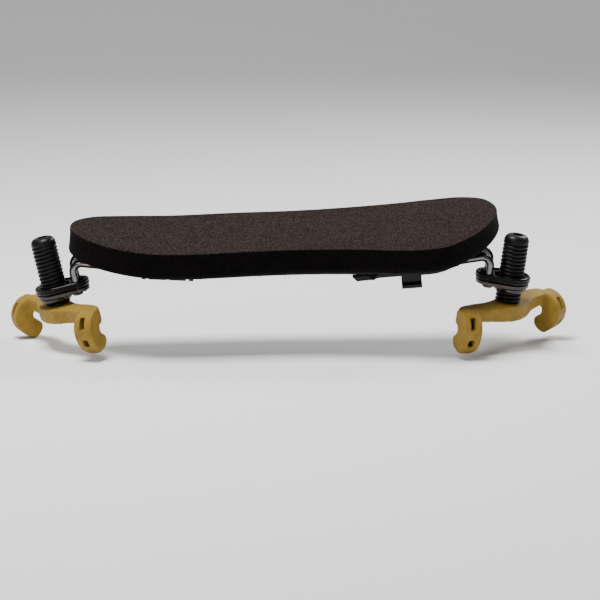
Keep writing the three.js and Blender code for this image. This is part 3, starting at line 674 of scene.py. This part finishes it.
def collar_stack(name, side):
    """Collar, clamp plate, threaded bush and rivet, one on top of the other about the screw's bore."""
    place = collar_frame(side)
    body = f"{name}_bracket"
    holes = [bore_outline(), *small_holes()]
    wall = loop_of([[(x, y, z) for x, y in pear(inset)] for inset, z in COLLAR_WALL])
    rim = bare_mesh(f"{name}_collar_rim", *wall, place)
    smooth(rim, 50)
    finish_piece(rim, NYLON, body, "nylon", f"{name}_collar")
    into_wall = 0.05
    web = slab([pear(COLLAR["rim"] - into_wall), *holes], -COLLAR["thickness"], -COLLAR["recess"])
    island = slab([collar_island(), *small_holes()], -COLLAR["recess"], ISLAND["top"])
    for label, part in (("web", web), ("island", island)):
        piece = bevel(bare_mesh(f"{name}_collar_{label}", *part, place), 0.25)
        smooth(piece)
        finish_piece(piece, NYLON, body, "nylon")
    sheet = slab([pear(PLATE["inset"]), *holes], PLATE["bottom"], PLATE["top"])
    plate = bevel(bare_mesh(f"{name}_plate", *sheet, place), 0.3)
    smooth(plate)
    finish_piece(plate, NICKEL, body, "nickel", f"{name}_clamp_plate")
    bush = bare_mesh(f"{name}_bush", *loop_of(spun(bush_profile(), 72)), place)
    smooth(bush)
    finish_piece(bush, NICKEL, body, "nickel", f"{name}_threaded_bush")
    rivet = bare_mesh(f"{name}_rivet", *shifted(skin(spun(rivet_profile(), 32)), RIVET["x"]), place)
    smooth(rivet)
    finish_piece(rivet, NICKEL, body, "nickel", f"{name}_collar_rivet")


# ---------------------------------------------------------------- leg screws
def thread_radius(angle, z):
    """Rounded crests between narrow grooves along a right-hand helix, fading out at both ends."""
    share = (z / THREAD["pitch"] - angle / (2 * math.pi)) % 1
    crest_fullness = 0.55
    height = math.sin(math.pi * share) ** crest_fullness
    fade = min(THREAD["fade"], THREAD["top"] + 0.4 - z, z - THREAD["bottom"] + 0.5) / THREAD["fade"]
    depth = THREAD["crest"] - THREAD["root"]
    return THREAD["crest"] - depth * (1 - height) * max(0, fade)


def screw_rings():
    """Rings from the screw's foot up its thread, over the domed top and down into the hex socket."""
    columns = 96
    angles = [2 * math.pi * i / columns for i in range(columns)]

    def ring(radius, z):
        reach = radius if callable(radius) else lambda a: radius
        return [(reach(a) * math.cos(a), reach(a) * math.sin(a), z) for a in angles]

    def hexagon(a):
        return SOCKET["radius"] * math.cos(math.pi / 6) / math.cos(a % (math.pi / 3) - math.pi / 6)

    chamfer = 0.2
    foot, foot_bottom = SCREW["foot"], SCREW["foot_bottom"]
    rings = [ring(HUB, foot_bottom), ring(foot - chamfer, foot_bottom)]
    rings += [ring(foot, foot_bottom + chamfer), ring(foot, THREAD["bottom"])]
    rows = round((THREAD["top"] - THREAD["bottom"]) / THREAD["row"])
    for row in range(rows + 1):
        z = THREAD["bottom"] + row * THREAD["row"]
        rings.append(ring(lambda a, z=z: thread_radius(a, z), z))
    shoulder = THREAD["crest"] - 0.1
    dome_start = SCREW["top"] - SCREW["dome"]
    rings.append(ring(shoulder, dome_start))
    steps = 13
    for i in range(1, steps):
        lift = math.radians(90 * i / steps)
        reach = SCREW["flat"] + (shoulder - SCREW["flat"]) * math.cos(lift)
        rings.append(ring(reach, dome_start + SCREW["dome"] * math.sin(lift)))
    rings.append(ring(SCREW["flat"] - 0.05, SCREW["top"]))
    rings.append(ring(lambda a: hexagon(a) + SOCKET["chamfer"], SCREW["top"]))
    rings += [ring(hexagon, SCREW["top"] - 0.15), ring(hexagon, SOCKET["floor"])]
    rings.append(ring(HUB, SOCKET["floor"] - 0.3))
    return rings


def leg_screw(name, side):
    screw = bare_mesh(f"{name}_screw_thread", *skin(screw_rings()), leg_frame(side))
    smooth(screw, 50)
    finish_piece(screw, SCREW_NYLON, f"{name}_screw", "screw_nylon", f"{name}_leg_screw")


# ---------------------------------------------------------------- rubber forks
def claws(side):
    """The tail claw is at the end of the fork that lies towards the bar's middle."""
    return [(side["sign"], TAIL_CLAW), (-side["sign"], WAIST_CLAW)]


def claw_frame(hand, claw):
    """+x from the throat out through the claw's outer face, y across the claw, z up the leg."""
    return Matrix.Translation((hand * claw["x"], claw["y"], 0)) @ turn("Z", 90 - hand * claw["splay"])


def claw_profile(radius):
    """Side view in x and z: over the top, round the outside, down to the tip and back up to the throat."""
    top, tip, inner = (CLAW[k] for k in ("top", "tip", "inner"))
    roof, floor, depth = (THROAT[k] for k in ("roof", "floor", "depth"))
    back_top = (inner, top - 2)
    shoulder = (radius, top - radius)
    tip_outside, tip_inside = (3.6, tip + 1.1), (0.4, tip + 0.9)
    back_below_throat = (inner, floor - 2)
    throat_lip, throat_brow = (-0.6, floor), (-0.8, roof)
    throat_end = (depth, (floor + roof) / 2 + 0.3)
    outline = [back_top, *quadratic(back_top, (inner, top), (0, top))]
    outline += arc((0, top - radius), radius, 90, 0, 18)[1:]
    outline += quadratic(shoulder, (radius, tip + 4.6), tip_outside, 14)
    outline += quadratic(tip_outside, (2, tip - 0.7), tip_inside)
    outline += quadratic(tip_inside, (inner, floor - 3.6), back_below_throat)
    outline += quadratic(back_below_throat, (inner, floor - 0.6), throat_lip)
    outline += quadratic(throat_lip, (depth, floor + 0.7), throat_end)
    outline += quadratic(throat_end, (depth, roof), throat_brow)
    outline += quadratic(throat_brow, (inner, roof), (inner, roof + 1.8))
    return outline


def claw_half_width(z):
    """The claw's sides are straight down to its corner, then round in to a blunt tip."""
    past_tip, bluntness = 0.3, 0.12
    corner = CLAW["corner"] + past_tip
    drop = max(0, CLAW["tip"] - past_tip + corner - z) / corner
    return CLAW["width"] / 2 * max(bluntness, 1 - drop ** 2) ** 0.5


def claw_solid(radius):
    """Points and faces of a claw: its side view twice over, each side rounding in to the tip."""
    outline = claw_profile(radius)
    flat = [Vector((x, z, 0)) for x, z in outline]
    triangles = [tuple(face) for face in tessellate_polygon([flat])]
    count = len(outline)
    verts = [(x, hand * claw_half_width(z), z) for hand in (-1, 1) for x, z in outline]
    faces = triangles + [tuple(count + i for i in face) for face in triangles]
    faces += [(i, (i + 1) % count, count + (i + 1) % count, count + i) for i in range(count)]
    return verts, faces


def crossbar_solid(side):
    """A bowed band that swells about the screw, and rounds in and thins towards its ends."""
    half, end_half = CROSSBAR["half"], CROSSBAR["end_half"]
    thick, end_thick = CROSSBAR["thickness"], CROSSBAR["end_thickness"]
    near, far = ([(hand * x, y) for x, y in claw["arm"]] for hand, claw in claws(side))
    line = spline([*reversed(near), (0, 0), *far], 8)
    reach = max(abs(p.x) for p in line)

    def floor_at(x):
        return -thick + (thick - end_thick) * (x / reach) ** 2

    rings = []
    for i, point in enumerate(line):
        outward = 2 * i / (len(line) - 1) - 1
        share = max(0, 1 - (point.x / SWELL["reach"]) ** 2) ** 2
        wide = half + (end_half - half) * outward ** 8 + SWELL["width"] * share
        middle = point.y + SWELL["shift"] * share
        low = floor_at(point.x)
        rings.append([
            (point.x, middle - wide, 0), (point.x, middle + wide, 0),
            (point.x, middle + wide, low), (point.x, middle - wide, low),
        ])
    return skin(rings)


def window_cutter(name, side, place):
    """The rounded slots through the outer face of both claws, down to the steel."""
    parts = []
    corner = WINDOW_CUT["corner"]
    for hand, claw in claws(side):
        for window in WINDOWS:
            half, tall = window["width"] / 2 - corner, window["height"] / 2 - corner
            outline = []
            for sx, sy, start in ((1, 1, 0), (-1, 1, 90), (-1, -1, 180), (1, -1, 270)):
                outline += arc((sx * half, sy * tall), corner, start, start + 90, 4)
            verts, faces = slab([outline], WINDOW_CUT["floor"], WINDOW_CUT["outer"])
            upright = Matrix(((0, 0, 1, 0), (1, 0, 0, 0), (0, 1, 0, window["z"]), (0, 0, 0, 1)))
            to_fork = claw_frame(hand, claw) @ upright
            parts.append(([to_fork @ Vector(v) for v in verts], faces))
    return bare_mesh(name, *joined(*parts), place)


def soften_junctions(fork, side, place):
    """Smooths the mesh more where the crossbar runs into each claw, fading out with distance."""
    group = fork.vertex_groups.new(name="junctions")
    to_world = TO_METRES @ place
    centres = [
        to_world @ Vector((hand * (claw["x"] - JUNCTION["in_from_claw"]), claw["y"], -JUNCTION["depth"]))
        for hand, claw in claws(side)
    ]
    for vertex in fork.data.vertices:
        nearest = min((vertex.co - centre).length for centre in centres) * 1000
        group.add([vertex.index], max(0, 1 - (nearest / JUNCTION["reach"]) ** 2), "REPLACE")
    relax(fork, "flow", JUNCTION["softening"]).vertex_group = group.name


def rubber_fork(name, side):
    """Crossbar and claws run together into one soft-edged moulding, then the windows are cut."""
    place = fork_frame(side)
    parts = [crossbar_solid(side)]
    for hand, claw in claws(side):
        verts, faces = claw_solid(claw["radius"])
        parts.append(([claw_frame(hand, claw) @ Vector(v) for v in verts], faces))
    fork = bare_mesh(f"{name}_rubber", *joined(*parts), place)
    voxels = fork.modifiers.new("merge", "REMESH")
    voxels.mode = "VOXEL"
    voxels.voxel_size = RUBBER_VOXEL / 1000
    relax(fork, "soften", RUBBER_SOFTENING)
    settle(fork)
    soften_junctions(fork, side, place)
    cutter = window_cutter(f"{name}_windows", side, place)
    cut = fork.modifiers.new("windows", "BOOLEAN")
    cut.object = cutter
    cut.solver = "MANIFOLD"
    settle(fork)
    bpy.data.objects.remove(cutter)
    smooth(fork, 45)
    finish_piece(fork, RUBBER, f"{name}_fork", "rubber", f"{name}_fork_rubber")


# ---------------------------------------------------------------- pieces carried over from the frame
def dress_node(node, look, rounding):
    """Gives a CAD node its material and slightly rounded edges."""
    obj = frame["nodes"][node]
    obj.data.materials.clear()
    obj.data.materials.append(look)
    bevel(obj, rounding, 2, 35)
    smooth(obj)


foam_pad()
dress_node("base_bar", NYLON, 0.3)
for name, side in SIDES.items():
    bracket(name, side)
    collar_stack(name, side)
    leg_screw(name, side)
    rubber_fork(name, side)
    dress_node(f"{name}_slider", NYLON, 0.25)
    dress_node(f"{name}_lock_lever", NYLON, 0.25)
    dress_node(f"{name}_lever_pin", BLACK_STEEL, 0.08)
    dress_node(f"{name}_leg_pin", STEEL, 0.1)
    dress_node(f"{name}_fork_frame", STEEL, 0.15)


# ---------------------------------------------------------------- studio, in metres and watts
SWEEP = {"front": -2.5, "back": 1.65, "height": 1.8, "bend": 0.6, "half_width": 3}
LAMPS = {
    "key": {"place": (-0.2, -0.05, 0.8), "aim": (0, 0, 0.03), "size": (0.4, 0.3), "power": 11},
    "rim": {"place": (0.4, 0.45, 0.5), "aim": (0, 0, 0.03), "size": (0.4, 0.2), "power": 3},
    "front_fill": {"place": (-0.35, -0.8, 0.5), "aim": (0, 0, 0.02), "size": (0.25, 0.25), "power": 1.5},
}


def lamp(name, place, aim, size, power):
    """A rectangular lamp that faces a point."""
    light = bpy.data.lights.new(name, "AREA")
    light.shape = "RECTANGLE"
    light.size, light.size_y = size
    light.energy = power
    obj = add_object(name, light)
    obj.location = place
    obj.rotation_euler = (Vector(aim) - Vector(place)).to_track_quat("-Z", "Y").to_euler()


def stage():
    """A pale sweep of floor that bends up into a backdrop."""
    bend = SWEEP["bend"]
    curve = arc((SWEEP["back"] - bend, bend), bend, -90, 0, 16)
    section = [(SWEEP["front"], 0), *curve, (SWEEP["back"], SWEEP["height"])]
    verts = [(hand * SWEEP["half_width"], y, z) for hand in (-1, 1) for y, z in section]
    count = len(section)
    faces = [(i, i + 1, count + i + 1, count + i) for i in range(count - 1)]
    mesh = bpy.data.meshes.new("sweep")
    mesh.from_pydata(verts, [], faces)
    mesh.shade_smooth()
    look = Look("paper")
    look.set("Base Color", (0.86, 0.86, 0.86, 1))
    look.set("Roughness", look.ramp(look.noise(40, 3), 0.3, 0.7, 0.86, 0.95))
    mesh.materials.append(look.material)
    add_object("sweep", mesh)


stage()
for name, setting in LAMPS.items():
    lamp(name, **setting)

world = bpy.data.worlds.new("studio")
world.use_nodes = True
background = world.node_tree.nodes["Background"]
background.inputs["Color"].default_value = (1, 1, 1, 1)
background.inputs["Strength"].default_value = 0.3
bpy.context.scene.world = world

# The camera looks along +Y and a little down, aimed just right of and above the part's own origin.
CAMERA = {"distance": 1120, "drop": 10, "lens": 176.8, "right": 6.08, "up": 5.85}
drop = math.radians(CAMERA["drop"])
ahead = Vector((0, math.cos(drop), -math.sin(drop)))
upwards = Vector((0, math.sin(drop), math.cos(drop)))
target = ORIGIN.translation + Vector((1, 0, 0)) * CAMERA["right"] + upwards * CAMERA["up"]
camera_data = bpy.data.cameras.new("camera")
camera_data.lens = CAMERA["lens"]
camera_data.sensor_width = 36
camera_data.clip_end = 10
camera = add_object("camera", camera_data)
camera.location = (target - ahead * CAMERA["distance"]) / 1000
camera.rotation_euler = ahead.to_track_quat("-Z", "Y").to_euler()
bpy.context.scene.camera = camera
